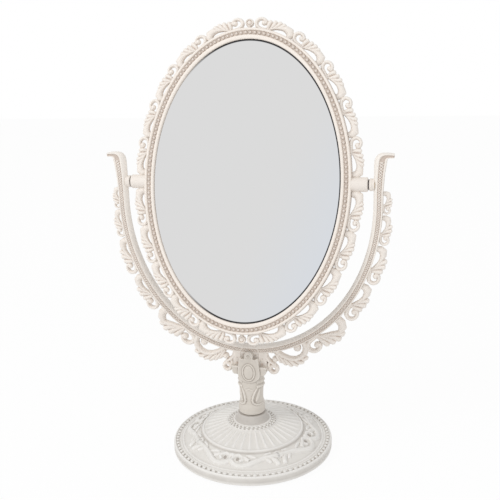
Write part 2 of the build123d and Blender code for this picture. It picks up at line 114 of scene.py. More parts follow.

# Glass, in metres: where the painted reflection's cooler tone starts, its slant and width, and where the
# painted shadow line at the edge fades out
to_cool_side = (-0.01, 0.0, -0.19)
cool_slant = -0.45
cool_width = 0.09
edge_shadow_start = 0.9950  # As a share of the painted shadow line's own half sizes
edge_shadow_fade = (-0.058, -0.030)

# Fork, in millimetres; its bow is part of an oval about the arc's height
fork_arc_height = 188.0
fork_outer = (94.8, 112.0)
fork_inner = (88.4, 105.9)
fork_scroll_lift = 0.90
fork_root_share = 0.345
bow_step = 1.8

# Leaves of the openwork: place along a unit's reach, then rise and half width as shares of its height
head_leaf = (
    (0.02, 0.08, 0.06),
    (0.28, 0.36, 0.11),
    (0.50, 0.52, 0.17),
    (0.68, 0.60, 0.28),
    (0.83, 0.54, 0.35),
    (0.91, 0.32, 0.29),
    (0.91, 0.02, 0.23),
)
fork_leaf = (
    (0.02, 0.07, 0.06),
    (0.28, 0.37, 0.10),
    (0.50, 0.53, 0.15),
    (0.69, 0.59, 0.26),
    (0.83, 0.50, 0.32),
    (0.89, 0.30, 0.27),
    (0.89, 0.02, 0.23),
)
large_leaf = (
    (0.02, 0.07, 0.05),
    (0.26, 0.37, 0.075),
    (0.48, 0.56, 0.095),
    (0.66, 0.63, 0.16),
    (0.80, 0.54, 0.23),
    (0.88, 0.32, 0.24),
    (0.89, 0.02, 0.23),
)

# Finger tips of the openwork: place along the reach, and rise as a share of the height
head_tips = ((0.01, 0.78), (0.20, 0.85), (0.39, 0.88), (0.56, 0.84))
fork_tips = ((0.09, 0.86), (0.29, 0.93), (0.50, 0.91))
large_tips = ((0.12, 0.78), (0.30, 0.88), (0.49, 0.93), (0.68, 0.84))
# Fork units: start along the outer edge, length, height, scroll radius, half depth, tips and leaf
fork_units = (
    (41.0, 34.6, 13.0, 6.0, 3.0, large_tips, large_leaf),
    (77.4, 28.4, 9.5, 5.25, 2.8, fork_tips, fork_leaf),
    (107.2, 27.6, 8.9, 4.9, 2.6, fork_tips, fork_leaf),
    (135.6, 20.4, 7.3, 3.7, 1.9, fork_tips, fork_leaf),
    (156.8, 15.6, 6.15, 2.8, 1.6, fork_tips, fork_leaf),
)

# The fork's arm above its arc: lengths walked, then the inner and outer lines as X and rise
arm_steps = (0.0, 10.0, 21.3, 28.0, 30.5, 33.0, 35.5, 38.0, 40.5, 43.0)
arm_inner_x = (88.4, 88.4, 88.4, 88.4, 88.7, 89.9, 92.1, 95.0, 98.2, 101.6)
arm_inner_rise = (0.0, 10.0, 21.3, 28.0, 31.2, 34.0, 35.5, 36.0, 35.9, 35.4)
arm_outer_x = (94.8, 94.8, 95.6, 96.8, 97.2, 97.5, 98.2, 99.3, 100.4, 101.6)
arm_outer_rise = (0.0, 10.0, 21.3, 29.4, 31.6, 32.3, 32.5, 32.6, 32.6, 32.7)

# The bow's rope: two crossing ribs at every pitch, in a bed at this depth and share of the bow's width
rope_pitch = 1.7
rope_end = 31.0
rope_depth = 3.30
rope_seat = 0.62
rope_slant = 42
rope_rib = (0.32, 0.62, 1.75)

# Pillar: depths of the cartouche plate, the gem's middle, its border's half sizes and the relief's radius
plate_back = 4.4
plate_front = 7.8
gem_height = 62.6
gem_border = (4.5, 6.4)
relief_radius = 9.1

# Foot: its flutes, then radius and height where the vine band and the dome begin and end
flute_count = 36
flute_depth = 0.35
flute_sharpness = 12
flutes_outer = 36.2
flutes_inner = 18.9
flutes_low = 14.0
vine_outer = (52.1, 8.5)
vine_inner = (38.7, 14.1)
dome_outer = (36.0, 15.85)
dome_inner = (19.2, 20.7)
vine_lift = 0.25
vine_radius = 45

# Grain of the carving, and its tints of painted shade, which run from 0 on ridges to 1 in grooves
carving_voxel = 0.26
coarse_voxel = 0.3
plain_tint = 0.3
carved_tint = 0.35
carved_gain = 4.0
tint_blur = 3
channel_shade = 0.34

# Light, in metres and watts
room_light = 0.69
floor_glow = 0.95
pure_white = (1, 1, 1, 1)
lamp_size = 0.6
lamp_target = (0, 0, 0.16)
lamps = (("upper_left_lamp", (-0.7, -0.7, 0.9), 4.9), ("front_right_lamp", (0.8, -0.9, 0.5), 2.1))

hands = (("right", 1), ("left", -1))


def deselect_all():
    """Leaves nothing selected."""
    for piece in bpy.context.selected_objects:
        piece.select_set(False)


def start_piece(name):
    """Opens a new empty mesh piece in edit mode."""
    deselect_all()
    bpy.ops.mesh.primitive_plane_add(size=1, location=(0, 0, 0))
    piece = bpy.context.active_object
    piece.name = name
    piece.data.name = name
    bpy.ops.object.mode_set(mode="EDIT")
    bpy.ops.mesh.select_all(action="SELECT")
    bpy.ops.mesh.delete(type="VERT")
    return piece


def end_piece(piece):
    """Closes the piece after editing, with its faces pointing outwards."""
    bpy.ops.mesh.select_all(action="SELECT")
    bpy.ops.mesh.normals_make_consistent(inside=False)
    bpy.ops.object.mode_set(mode="OBJECT")
    return piece


def finish_with(piece, kind, **settings):
    """Adds a modifier to the piece and applies it."""
    deselect_all()
    piece.select_set(True)
    bpy.context.view_layer.objects.active = piece
    modifier = piece.modifiers.new(kind.title(), kind)
    for key, value in settings.items():
        setattr(modifier, key, value)
    bpy.ops.object.modifier_apply(modifier=modifier.name)


def heading(here, there):
    """The direction from one point of the drawing to another, as an angle."""
    return atan2(there[1] - here[1], there[0] - here[0])


def band(stations, sides=10):
    """Extrudes a rounded band through stations of along, out, half width and half depth."""
    points = [(station[0], station[1]) for station in stations]
    turns = []
    for number in range(len(points)):
        before = points[max(number - 1, 0)]
        after = points[min(number + 1, len(points) - 1)]
        turns.append(heading(before, after))
    along, out, half_width, half_depth = stations[0]
    place = (along, 0, out)
    bpy.ops.mesh.primitive_circle_add(
        vertices=sides, radius=1, fill_type="NGON", location=place, rotation=(0, pi / 2 - turns[0], 0)
    )
    bpy.ops.transform.resize(value=(half_width, half_depth, half_width), center_override=place)
    for number in range(1, len(stations)):
        new_along, new_out, new_width, new_depth = stations[number]
        step = (new_along - along, 0, new_out - out)
        bpy.ops.mesh.extrude_region_move(TRANSFORM_OT_translate={"value": step})
        place = (new_along, 0, new_out)
        turn = (turns[number] - turns[number - 1] + pi) % (2 * pi) - pi
        bpy.ops.transform.rotate(value=turn, orient_axis="Y", center_override=place)
        grow = (new_width / half_width, new_depth / half_depth, new_width / half_width)
        bpy.ops.transform.resize(value=grow, center_override=place)
        along, out, half_width, half_depth = new_along, new_out, new_width, new_depth


def ball(along, out, radius, half_depth):
    """Adds a rounded knob at a place of the drawing."""
    place = (along, 0, out)
    bpy.ops.mesh.primitive_uv_sphere_add(segments=16, ring_count=10, radius=1, location=place)
    bpy.ops.transform.resize(value=(radius, half_depth, radius), center_override=place)


def on_circle(centre, radius, degrees_round):
    """A point of a circle in the drawing."""
    turn = radians(degrees_round)
    return centre[0] + radius * cos(turn), centre[1] + radius * sin(turn)


def rows_of(items, field, width, kind=float):
    """One field of a mesh's points or edges as an array of rows."""
    values = np.empty(len(items) * width, dtype=kind)
    items.foreach_get(field, values)
    return values.reshape(-1, width)


def points_of(piece):
    """The piece's points as an array of rows."""
    return rows_of(piece.data.vertices, "co", 3)


def tint_of(piece):
    """How deep the painted shade is at each point of the piece."""
    return rows_of(piece.data.attributes["hollow"].data, "value", 1, np.float32).ravel()


def set_tint(piece, values):
    """Stores how deep the painted shade is at each point of the piece."""
    attributes = piece.data.attributes
    layer = attributes.get("hollow") or attributes.new("hollow", "FLOAT", "POINT")
    layer.data.foreach_set("value", np.asarray(values, dtype=np.float32))


def paint_hollow_shade(piece):
    """Paints shade on a carved piece by how far each point lies below its neighbours."""
    mesh = piece.data
    count = len(mesh.vertices)
    points = points_of(piece)
    normals = rows_of(mesh.vertices, "normal", 3)
    ends = rows_of(mesh.edges, "vertices", 2, np.int64)
    neighbours = np.bincount(ends.ravel(), minlength=count).clip(min=1)

    def average(values):
        total = np.bincount(ends[:, 0], weights=values[ends[:, 1]], minlength=count)
        total += np.bincount(ends[:, 1], weights=values[ends[:, 0]], minlength=count)
        return total / neighbours

    middle = np.stack([average(points[:, axis]) for axis in range(3)], axis=1)
    lengths = np.linalg.norm(points[ends[:, 0]] - points[ends[:, 1]], axis=1)
    hollow = np.einsum("ij,ij->i", normals, middle - points) / lengths.mean()
    for _ in range(tint_blur):
        hollow = 0.5 * hollow + 0.5 * average(hollow)
    set_tint(piece, (carved_tint + carved_gain * hollow).clip(0, 1))


def carve(piece, voxel=carving_voxel):
    """Melts the piece's bands into one cast surface and paints shade into its hollows."""
    finish_with(piece, "REMESH", mode="VOXEL", voxel_size=voxel)
    finish_with(piece, "SMOOTH", factor=0.5, iterations=2)
    paint_hollow_shade(piece)


def copies(name, pattern, places):
    """A piece of several copies of a pattern; each place moves the points and says if faces flip."""
    points = points_of(pattern)
    faces = [list(face.vertices) for face in pattern.data.polygons]
    all_points = []
    all_faces = []
    for number, (place, flipped) in enumerate(places):
        all_points.append(place(points))
        offset = number * len(points)
        for face in faces:
            moved = [corner + offset for corner in face]
            all_faces.append(moved[::-1] if flipped else moved)
    mesh = bpy.data.meshes.new(name)
    mesh.from_pydata(np.concatenate(all_points).tolist(), [], all_faces)
    mesh.shade_smooth()
    piece = bpy.data.objects.new(name, mesh)
    bpy.context.scene.collection.objects.link(piece)
    set_tint(piece, np.tile(tint_of(pattern), len(places)))
    return piece


def joined(name, parts):
    """Joins several pieces into one, ready to be melted together."""
    deselect_all()
    for part in parts:
        part.select_set(True)
    bpy.context.view_layer.objects.active = parts[0]
    bpy.ops.object.join()
    parts[0].name = name
    parts[0].data.name = name
    return parts[0]


def block(corners_of_face, back, front, soften):
    """A plate with this outline in X and Z between two depths, with softened edges."""
    section_face([(x, back, z) for x, z in corners_of_face])
    bpy.ops.mesh.extrude_region_move(TRANSFORM_OT_translate={"value": (0, front - back, 0)})
    bpy.ops.mesh.select_linked()
    bpy.ops.mesh.normals_make_consistent(inside=False)
    bpy.ops.mesh.bevel(offset=soften, segments=2, affect="EDGES", clamp_overlap=True)
    bpy.ops.mesh.select_all(action="DESELECT")


def mirrored(outline):
    """An outline of the right half, closed over the middle line."""
    return list(outline) + [(-x, z) for x, z in reversed(outline) if x > 0]


def discard(piece):
    """Removes a pattern that has been copied."""
    bpy.data.objects.remove(piece, do_unlink=True)


def walked(half_sizes, angles):
    """The length walked along an upright oval up to each angle."""
    x = half_sizes[0] * np.sin(angles)
    z = half_sizes[1] * np.cos(angles)
    return np.concatenate([[0.0], np.cumsum(np.hypot(np.diff(x), np.diff(z)))])


class OvalEdge:
    """The edge of an upright oval, walked by its length from its lowest or highest point."""

    def __init__(self, half_width, half_height, centre_height, upwards):
        self.half_width = half_width
        self.half_height = half_height
        self.centre_height = centre_height
        self.upwards = upwards
        self.angles = np.linspace(0, pi / 2, 1201)
        self.lengths = walked((half_width, half_height), self.angles)
        self.quarter = self.lengths[-1]

    def angle_at(self, along):
        """The angle of the place that is this far along the edge."""
        return np.interp(along.clip(0, self.quarter), self.lengths, self.angles)

    def wrap(self, start, side):
        """A place for copies: the drawing's baseline is laid along this edge from the start."""

        def place(points):
            along = start + points[:, 0]
            angle = self.angle_at(along)
            beyond = (along - self.quarter).clip(min=0)
            before = along.clip(max=0)
            slope_x = np.sin(angle) / self.half_width
            slope_z = np.cos(angle) / self.half_height
            size = np.hypot(slope_x, slope_z)
            x = self.half_width * np.sin(angle) + points[:, 2] * slope_x / size + before
            z = self.half_height * np.cos(angle) + points[:, 2] * slope_z / size - beyond
            return np.stack([side * x, points[:, 1], self.centre_height + self.upwards * z], axis=1)

        return place, side * self.upwards < 0


head_top = OvalEdge(bezel_half_width, bezel_half_height, 0, 1)
head_bottom = OvalEdge(bezel_half_width, bezel_half_height, 0, -1)
fork_edge = OvalEdge(*fork_outer, fork_arc_height, -1)
bow_half_length = fork_edge.quarter + arm_steps[-1]
bow_width = fork_outer[0] - fork_inner[0]


def tint_selected(value=plain_tint):
    """Sets the painted shade of the selected points, as ridge, flat or hollow."""
    mesh = bmesh.from_edit_mesh(bpy.context.edit_object.data)
    layer = mesh.verts.layers.float.get("hollow") or mesh.verts.layers.float.new("hollow")
    for vertex in mesh.verts:
        if vertex.select:
            vertex[layer] = value
    bmesh.update_edit_mesh(bpy.context.edit_object.data)


def section_face(corners):
    """Adds one flat face through corners and selects it."""
    mesh = bmesh.from_edit_mesh(bpy.context.edit_object.data)
    face = mesh.faces.new([mesh.verts.new(corner) for corner in corners])
    face.select_set(True)
    bmesh.update_edit_mesh(bpy.context.edit_object.data)


def reshape(piece, place):
    """Moves all points of a piece by a place function."""
    piece.data.vertices.foreach_set("co", place(points_of(piece)).ravel())
    piece.data.update()


def leaf_unit(length, height, scroll, root, lift, deep, tips, leaf):
    """One unit of the openwork: a scroll that ends in a knob, fanned fingers and a swelling leaf.

    Fingers and leaf spring from the root, and lift is the height of the scroll's centre in its radii.
    """
    piece = start_piece("leaf_unit")
    reach = length - root
    centre = (scroll * 1.05, scroll * lift)
    track = scroll * 0.76
    stalk = scroll * 0.27
    low = scroll * 0.17

    rim = [
        (root + 0.6, 0.2, stalk * 0.7, deep * 0.75),
        (root * 0.78, low * 0.9, stalk, deep * 0.86),
        (scroll * 0.98, low, stalk * 1.15, deep * 0.9),
        (scroll * 0.46, (low + centre[1]) * 0.42, stalk * 1.1, deep * 0.92),
    ]
    for turn in range(180, 29, -24):
        rim.append((*on_circle(centre, track, turn), stalk * (0.88 + 0.12 * turn / 180), deep * 0.92))
    rim.append((*on_circle(centre, track * 0.90, 20), stalk * 0.95, deep * 0.92))
    rim.append((*on_circle(centre, track * 0.66, 2), stalk * 0.85, deep * 0.9))
    band(rim, sides=12)
    ball(*on_circle(centre, scroll * 0.40, 24), scroll * 0.40, deep)

    spread = (tips[-1][0] - tips[0][0]) * reach / (len(tips) - 1)
    finger = spread * 0.52
    for number, (share, rise) in enumerate(tips):
        foot = (root + 1.2 * number, 0.4 + 0.7 * number)
        tip = (root + share * reach, rise * height)
        across = tip[0] - foot[0]
        up = tip[1] - foot[1]
        bow = 0.55 if number == 0 else 0.0
        over = finger * 0.45
        band(
            [
                (*foot, finger * 0.50, deep * 0.62),
                (foot[0] + across * 0.46 - bow, foot[1] + up * 0.32, finger * 0.74, deep * 0.80),
                (foot[0] + across * 0.80 - bow, foot[1] + up * 0.64, finger * 0.92, deep * 0.90),
                (*tip, finger * 0.92, deep * 0.84),
                (tip[0] + over * 0.45, tip[1] + over, finger * 0.50, deep * 0.52),
            ]
        )

    stations = []
    for share, rise, width in leaf:
        fullness = min(1.0, 0.62 + width * 1.5)
        stations.append((root + share * reach, rise * height, width * height, deep * fullness))
    band(stations, sides=16)
    band([(root - 0.9, -0.3, 0.7, deep * 0.7), (root + 1.4, 0.5, 0.8, deep * 0.7)])
    end_piece(piece)
    carve(piece)
    return piece


def oval_mould(name, outline, segments=192):
    """A closed moulding round the oval opening, extruded and scaled from stage to stage.

    The outline runs once round the section: half width, half height, forward distance and hollowness, the
    depth of painted shade.
    """
    piece = start_piece(name)
    half_width, half_height, forward, hollowness = outline[0]
    upright = (pi / 2, 0, 0)
    bpy.ops.mesh.primitive_circle_add(vertices=segments, radius=1, fill_type="NOTHING", rotation=upright)
    bpy.ops.transform.resize(value=(half_width, 1, half_height), center_override=(0, 0, 0))
    bpy.ops.transform.translate(value=(0, -forward, 0))
    tint_selected(hollowness)
    for new_width, new_height, new_forward, hollowness in outline[1:] + outline[:1]:
        bpy.ops.mesh.extrude_edges_move(TRANSFORM_OT_translate={"value": (0, forward - new_forward, 0)})
        grow = (new_width / half_width, 1, new_height / half_height)
        bpy.ops.transform.resize(value=grow, center_override=(0, 0, 0))
        tint_selected(hollowness)
        half_width, half_height, forward = new_width, new_height, new_forward
    bpy.ops.mesh.select_all(action="SELECT")
    bpy.ops.mesh.remove_doubles(threshold=0.001)
    return end_piece(piece)


def turned(name, outline, segments, side=0, centre_height=0.0):
    """A turned solid, extruded and scaled from stage to stage.

    Each stage has a radius, a place on the axis and perhaps a tint of painted shade. The axis is Z,
    or X towards the given side at the given height.
    """
    direction = Vector((side, 0, 0)) if side else Vector((0, 0, 1))
    centre = Vector((0, 0, centre_height))
    piece = start_piece(name)
    radius, along, *tint = outline[0]
    bpy.ops.mesh.primitive_circle_add(
        vertices=segments,
        radius=radius,
        fill_type="NGON",
        location=centre + direction * along,
        rotation=(0, pi / 2 if side else 0, 0),
    )
    tint_selected(*tint)
    for new_radius, new_along, *tint in outline[1:]:
        step = direction * (new_along - along)
        bpy.ops.mesh.extrude_region_move(TRANSFORM_OT_translate={"value": step})
        grow = new_radius / radius
        size = (1, grow, grow) if side else (grow, grow, 1)
        bpy.ops.transform.resize(value=size, center_override=centre + direction * new_along)
        tint_selected(*tint)
        radius, along = new_radius, new_along
    return end_piece(piece)


def colour(red, green, blue):
    """A colour written as it shows, 0 to 255, as the linear values that nodes take."""
    def linear(value):
        share = value / 255
        return share / 12.92 if share <= 0.04045 else ((share + 0.055) / 1.055) ** 2.4

    return linear(red), linear(green), linear(blue), 1.0


def feed(tree, made, values):
    """Sets inputs of a node, and links those whose value is another node's output."""
    for name, value in values.items():
        if isinstance(value, bpy.types.NodeSocket):
            tree.links.new(value, made.inputs[name])
        else:
            made.inputs[name].default_value = value
    return made


def node(tree, kind, values=None, **settings):
    """Adds a shader node with its settings and inputs."""
    made = tree.nodes.new("ShaderNode" + kind)
    for name, value in settings.items():
        setattr(made, name, value)
    return feed(tree, made, values or {})


def mixed(tree, factor, first, second):
    """The mix of two colours by a factor."""
    values = {"Factor": factor, "A": first, "B": second}
    return node(tree, "Mix", values, data_type="RGBA").outputs["Result"]


def ranged(tree, value, low=0.0, high=1.0, to_low=0.0, to_high=1.0, kind="LINEAR"):
    """A value mapped from one range to another."""
    values = {"Value": value, "From Min": low, "From Max": high, "To Min": to_low, "To Max": to_high}
    return node(tree, "MapRange", values, interpolation_type=kind).outputs["Result"]


def calculated(tree, operation, *values):
    """The result of one step of arithmetic."""
    return node(tree, "Math", dict(enumerate(values)), operation=operation).outputs[0]


def noise(tree, scale, detail=2.0):
    """Noise over the piece's own coordinates."""
    place = node(tree, "TexCoord").outputs["Object"]
    return node(tree, "TexNoise", {"Scale": scale, "Detail": detail, "Vector": place}).outputs["Fac"]


def bumped(tree, height, strength):
    """A surface roughened by a fine height."""
    values = {"Distance": 0.0002, "Strength": strength, "Height": height}
    return node(tree, "Bump", values).outputs["Normal"]


def make_cast_surface():
    """The shared group for moulded plastic: painted shade in the hollows, faint mottling and cast grain."""
    group = bpy.data.node_groups.new("cast_surface", "ShaderNodeTree")
    face = group.interface
    for name in ("Ridge", "Flat", "Hollow"):
        face.new_socket(name, in_out="INPUT", socket_type="NodeSocketColor")
    for name, value in (("Mottle Scale", 90.0), ("Grain Scale", 2500.0), ("Grain Height", 0.25)):
        face.new_socket(name, in_out="INPUT", socket_type="NodeSocketFloat").default_value = value
    for name, kind in (("Color", "Color"), ("Roughness", "Float"), ("Normal", "Vector")):
        face.new_socket(name, in_out="OUTPUT", socket_type="NodeSocket" + kind)
    given = group.nodes.new("NodeGroupInput").outputs
    # The hollow attribute paints shade: the deeper it is, the nearer the colour comes to the Hollow tone
    hollow = node(group, "Attribute", attribute_name="hollow").outputs["Fac"]
    mottle = noise(group, given["Mottle Scale"], 4.0)
    uneven = calculated(group, "MULTIPLY_ADD", mottle, 0.22, hollow)
    lower = mixed(group, ranged(group, uneven, 0.10, 0.48), given["Ridge"], given["Flat"])
    upper = mixed(group, ranged(group, uneven, 0.50, 1.0), lower, given["Hollow"])
    grain = noise(group, given["Grain Scale"], 3.0)
    results = {
        "Color": upper,
        "Roughness": ranged(group, grain, to_low=0.42, to_high=0.60),
        "Normal": bumped(group, grain, given["Grain Height"]),
    }
    feed(group, group.nodes.new("NodeGroupOutput"), results)
    return group


cast_surface = make_cast_surface()


def new_material(name):
    """An empty node material with its node tree and Principled shader."""
    material = bpy.data.materials.new(name)
    material.use_nodes = True
    return material, material.node_tree, material.node_tree.nodes["Principled BSDF"]


def moulded_plastic(name, ridge, flat, hollow, grain_height=0.25):
    """Pale moulded plastic with painted shade in its hollows."""
    material, tree, shader = new_material(name)
    tones = {"Ridge": colour(*ridge), "Flat": colour(*flat), "Hollow": colour(*hollow)}
    surface = node(tree, "Group", {**tones, "Grain Height": grain_height}, node_tree=cast_surface).outputs
    feed(tree, shader, {name: surface[name] for name in ("Roughness", "Normal")})
    feed(tree, shader, {"Base Color": surface["Color"], "Specular IOR Level": 0.35})
    return material


def metal(name, tone, dark_tone, rough_low, rough_high, scale):
    """Metal with uneven tone and gloss."""
    material, tree, shader = new_material(name)
    grain = noise(tree, scale)
    tones = mixed(tree, grain, colour(*dark_tone), colour(*tone))
    gloss = ranged(tree, grain, to_low=rough_low, to_high=rough_high)
    feed(tree, shader, {"Metallic": 1.0, "Base Color": tones, "Roughness": gloss})
    return material


def dull(name, tone, other_tone, scale):
    """A dull uneven surface such as rubber, foam or nylon."""
    material, tree, shader = new_material(name)
    grain = noise(tree, scale)
    tones = mixed(tree, grain, colour(*tone), colour(*other_tone))
    feed(tree, shader, {"Base Color": tones, "Normal": bumped(tree, grain, 0.3), "Roughness": 0.75})
    return material


def painted_cool_reflection(tree, place):
    """The silver's colour with a painted reflection, a little cooler towards its lower right, and the place
    across the mirror.
    """
    centred = node(tree, "Mapping", {"Location": to_cool_side, "Vector": place}).outputs["Vector"]
    axes = node(tree, "SeparateXYZ", {"Vector": centred}).outputs
    slant = calculated(tree, "MULTIPLY_ADD", axes["Z"], cool_slant, axes["X"])
    cooling = ranged(tree, slant, 0.0, cool_width, kind="SMOOTHSTEP")
    return mixed(tree, cooling, colour(219, 219, 219), colour(214, 219, 226)), axes["X"]


def painted_edge_shadow(tree, place, across):
    """1 on the painted shadow line at the glass edge, fading out towards the left side."""
    pivot = Vector((0, 0, pivot_height * mm))
    to_upright = {
        "Rotation": (tilt_at_rest, 0.0, 0.0),
        "Location": -(Matrix.Rotation(tilt_at_rest, 3, "X") @ pivot),
        "Vector": place,
    }
    upright = node(tree, "Mapping", to_upright).outputs["Vector"]
    shares = (1 / (edge_shadow_line[0] * mm), 0.0, 1 / (edge_shadow_line[1] * mm))
    oval = node(tree, "VectorMath", {0: upright, 1: shares}, operation="MULTIPLY").outputs["Vector"]
    outward = node(tree, "VectorMath", {0: oval}, operation="LENGTH").outputs["Value"]
    edge = ranged(tree, outward, edge_shadow_start, 1.0, kind="SMOOTHSTEP")
    worn = ranged(tree, across, *edge_shadow_fade, kind="SMOOTHSTEP")
    return calculated(tree, "MULTIPLY", edge, worn)


def silvered_glass(name):
    """Mirror glass: a neutral silver with a painted reflection, cooler towards its lower right, a painted
    shadow line at its edge and a faint smear.
    """
    material, tree, shader = new_material(name)
    place = node(tree, "TexCoord").outputs["Object"]
    silver, across = painted_cool_reflection(tree, place)
    tones = mixed(tree, painted_edge_shadow(tree, place, across), silver, colour(58, 58, 60))
    gloss = ranged(tree, noise(tree, 18.0), to_low=0.01, to_high=0.035)
    feed(tree, shader, {"Metallic": 1.0, "Base Color": tones, "Roughness": gloss})
    return material


# Plastic tones: ridge, flat and hollow, the hollow tone being the colour of painted shade
frame_white = moulded_plastic("frame_white", (243, 237, 230), (234, 226, 218), (194, 178, 166))
bezel_white = moulded_plastic("bezel_white", (243, 235, 227), (233, 223, 213), (184, 169, 157))
# The pillar's plastic is painted darker all over, as painted shade under the mirror head
shaded_stem_white = moulded_plastic("shaded_stem_white", (229, 223, 215), (211, 204, 195), (150, 139, 128))
foot_white = moulded_plastic("foot_white", (240, 238, 235), (229, 226, 221), (180, 173, 166), 0.5)
plate_white = moulded_plastic("plate_white", (225, 223, 220), (220, 218, 214), (205, 202, 198))
mirror_silver = silvered_glass("mirror_silver")
zinc = metal("zinc", (198, 198, 200), (150, 150, 153), 0.25, 0.45, 900.0)
turned_brass = metal("turned_brass", (214, 184, 120), (170, 140, 84), 0.22, 0.40, 700.0)
cast_iron = metal("cast_iron", (92, 92, 95), (52, 52, 55), 0.5, 0.8, 1200.0)
pad_rubber = dull("pad_rubber", (48, 48, 50), (66, 66, 68), 1500.0)
cell_foam = dull("cell_foam", (70, 70, 72), (98, 98, 100), 2500.0)
dark_nylon = dull("dark_nylon", (70, 62, 58), (92, 82, 76), 1200.0)
pale_nylon = dull("pale_nylon", (222, 222, 216), (236, 236, 230), 1200.0)

node_finishes = {
    "bottom_plate": plate_white,
    "plate_screws": zinc,
    "foot_pads": pad_rubber,
    "foot_weight": cast_iron,
    "tie_bolt": zinc,
    "fork_nut": turned_brass,
    "front_glass": mirror_silver,
    "rear_glass": mirror_silver,
    "glass_cushion": cell_foam,
    "foot_shell": foot_white,
    "stem": shaded_stem_white,
    "fork": frame_white,
    "mirror_frame": frame_white,
    "front_bezel": bezel_white,
    "rear_bezel": bezel_white,
}
for hand, _ in hands:
    node_finishes["pivot_screw_" + hand] = zinc
    node_finishes["fork_insert_" + hand] = turned_brass
    node_finishes["friction_washer_" + hand] = dark_nylon
    node_finishes["pivot_bush_" + hand] = pale_nylon

for name, finish in node_finishes.items():
    solid = frame["nodes"][name]
    solid.data.materials.clear()
    solid.data.materials.append(finish)

# How the larger families of pieces are dressed: material, body and record slot
on_head = (frame_white, "mirror_head", "frame_plastic")
on_fork = (frame_white, "stand", "frame_plastic")
on_foot = (foot_white, "stand", "foot_plastic")


def dress(piece, material, body, slot):
    """Finishes a piece: its real place, leaned back on the head, material and body; the slot argument is not
    used.
    """
    place = Matrix.Scale(mm, 4)
    if body == "mirror_head":
        lean = Matrix.Rotation(-tilt_at_rest, 4, "X")
        place = Matrix.Translation((0, 0, pivot_height * mm)) @ lean @ place
    piece.data.transform(place)
    piece.data.update()
    piece.data.materials.clear()
    piece.data.materials.append(material)
    deselect_all()
    piece.select_set(True)
    bpy.context.view_layer.objects.active = piece
    bpy.ops.object.shade_smooth_by_angle(angle=radians(40))
    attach(piece, body)


def make_head_openwork():
    """The twenty leaf units round the mirror, in an openwork of four quarters."""
    pitch = (head_top.quarter - barrel_radius - head_pitch_start) / head_units_per_quarter
    root = pitch * head_root_share
    starts = [head_pitch_start + number * pitch for number in range(head_units_per_quarter)]
    for half, edge, extra in (("upper", head_top, 0.0), ("lower", head_bottom, lower_leaf_extra)):
        height = head_leaf_height + extra
        shape = (root, head_scroll_lift, head_leaf_half_depth, head_tips, head_leaf)
        unit = leaf_unit(pitch, height, head_scroll, *shape)
        for hand, side in hands:
            quarter = copies(half + "_openwork_" + hand, unit, [edge.wrap(start, side) for start in starts])
            dress(quarter, *on_head)
        discard(unit)
    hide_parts("mirror_frame")


def make_head_ring():
    """The band that carries the openwork."""
    edge = (bezel_half_width, bezel_half_height)
    outer = (edge[0] - ring_bevel[0], edge[1] - ring_bevel[0])
    deep = ring_half_depth
    # Each stage: half sizes, forward distance and tint of painted shade, a little deeper on the outer edge
    outline = [
        (*ring_opening, -deep, 0.5),
        (*ring_opening, deep, 0.5),
        (*outer, deep, 0.5),
        (*edge, deep - ring_bevel[1], 0.6),
        (*edge, -deep + ring_bevel[1], 0.6),
        (*outer, -deep, 0.5),
    ]
    dress(oval_mould("head_ring", outline), *on_head)


def make_barrels():
    """The head's two barrels, which the pivot screws go into."""
    outline = (
        (barrel_radius, bezel_half_width - 0.6),
        (barrel_radius, barrel_end - 0.5),
        (barrel_radius - 0.35, barrel_end - 0.1),
        (barrel_radius - 0.9, barrel_end),
    )
    for hand, side in hands:
        dress(turned("barrel_" + hand, outline, 48, side), *on_head)


def make_bezels():
    """The two mouldings that hold the glass, each with an inner lip, a groove and an outer lip."""
    # Each stage: width so far at the sides and at the ends, rise and tint; the tint is painted shade,
    # deepest at the glass and where the moulding meets the ring, less in the bead groove, least on the lips
    section = (
        (0.00, 0.00, -0.60, 0.85),
        (0.00, 0.00, 1.00, 0.40),
        (0.20, 0.25, 1.50, 0.15),
        (0.70, 1.00, 1.80, 0.05),
        (1.50, 2.00, 1.85, 0.05),
        (2.10, 2.75, 1.60, 0.20),
        (2.40, 3.05, 1.05, 0.45),
        (2.60, 3.30, 0.70, 0.60),
        (3.70, 4.40, 0.60, 0.60),
        (4.80, 5.50, 0.70, 0.60),
        (5.00, 5.70, 1.05, 0.45),
        (5.35, 5.95, 1.75, 0.20),
        (5.90, 6.45, 2.00, 0.05),
        (6.50, 6.95, 1.95, 0.05),
        (7.00, 7.45, 1.50, 0.25),
        (7.20, 7.65, 0.80, 0.55),
        (7.20, 7.65, 0.00, 0.75),
    )
    for name, side, replaced in (("front_moulding", 1, "front_bezel"), ("rear_moulding", -1, "rear_bezel")):
        outline = []
        for across, down, rise, tint in section:
            half_sizes = (bezel_opening[0] + across, bezel_opening[1] + down)
            outline.append((*half_sizes, side * (ring_half_depth + rise), tint))
        moulding = oval_mould(name, outline)
        dress(moulding, bezel_white, "mirror_head", "bezel_plastic")
        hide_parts(replaced)


def ball_pattern(segments, rings, half_sizes):
    """A closed ball squashed to these half sizes along X, Y and Z."""
    deselect_all()
    bpy.ops.mesh.primitive_uv_sphere_add(segments=segments, ring_count=rings, radius=1, location=(0, 0, 0))
    pattern = bpy.context.active_object
    pattern.data.transform(Matrix.Diagonal((*half_sizes, 1)))
    return pattern


def shade_from_edge(pattern, half_depth, edge_tint, top_tint):
    """Paints shade on a ball, from its edge to its top, front and back."""
    height = np.abs(points_of(pattern)[:, 1]) / half_depth
    set_tint(pattern, edge_tint + (top_tint - edge_tint) * height)


